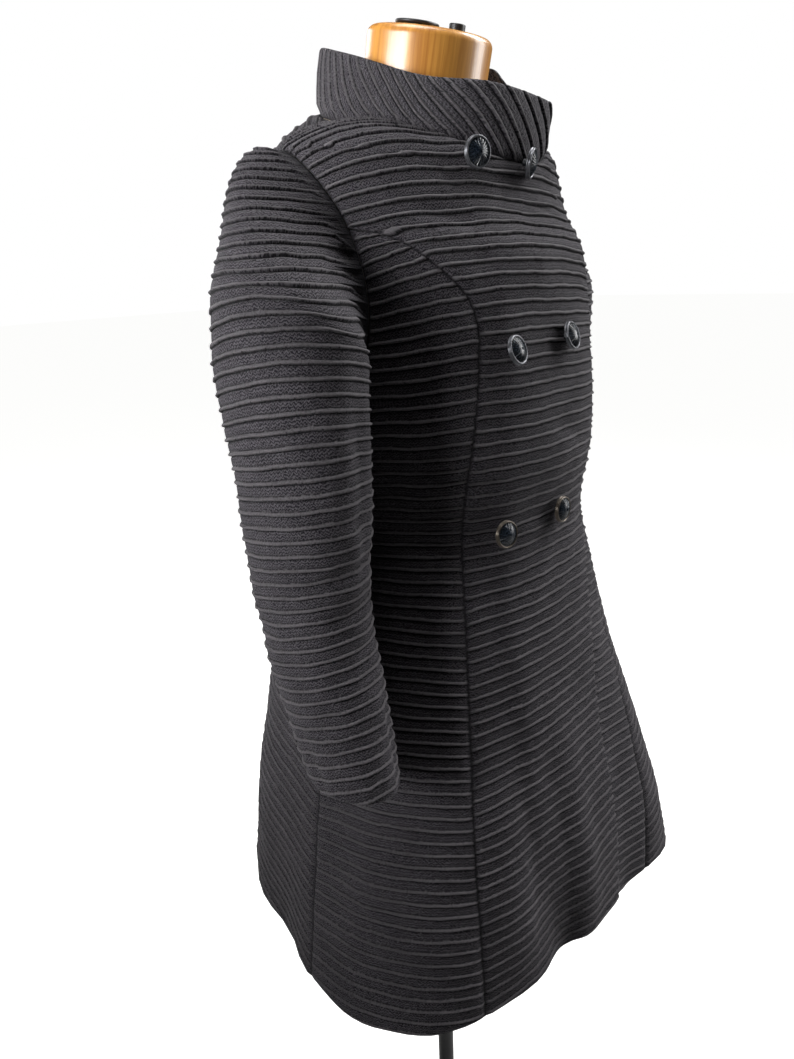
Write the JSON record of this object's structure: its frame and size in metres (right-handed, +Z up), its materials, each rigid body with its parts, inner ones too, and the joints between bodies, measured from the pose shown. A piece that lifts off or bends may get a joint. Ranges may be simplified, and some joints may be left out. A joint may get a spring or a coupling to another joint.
{
  "type": "double-breasted coat on a limbless dress form",
  "caption": "Dark double-breasted A-line coat of ribbed wool with a stand collar and shank buttons, worn by a limbless dress form on a pole and round base.",
  "frame": {"origin": "centre of the stand's underside, on the pole's axis", "axes": "+Z up, -Y the coat's front, +X the wearer's left"},
  "size_m": [0.5926, 0.4573, 1.6733],
  "materials": {
    "ribbed_cloth": "heavy charcoal wool with horizontal padded ribs and a pebbly weave between them",
    "button": "blue-black domes with radiating flutes and a worn silvery double rim",
    "form_linen": "plain natural linen",
    "varnished_wood": "honey-coloured wood under gloss varnish",
    "dark_metal": "satin black"
  },
  "bodies": {
    "root": {"front_right": "ribbed_cloth", "front_left": "ribbed_cloth", "side_right": "ribbed_cloth", "side_left": "ribbed_cloth", "back": "ribbed_cloth", "sleeve_right": "ribbed_cloth", "sleeve_left": "ribbed_cloth", "collar": "ribbed_cloth", "button_1_right": "button", "button_1_left": "button", "button_2_right": "button", "button_2_left": "button", "button_3_right": "button", "button_3_left": "button", "form_torso": "form_linen", "neck_block": "varnished_wood", "neck_cap": "dark_metal", "neck_knob": "dark_metal", "stand_pole": "dark_metal", "stand_base": "dark_metal"}
  },
  "joints": []
}
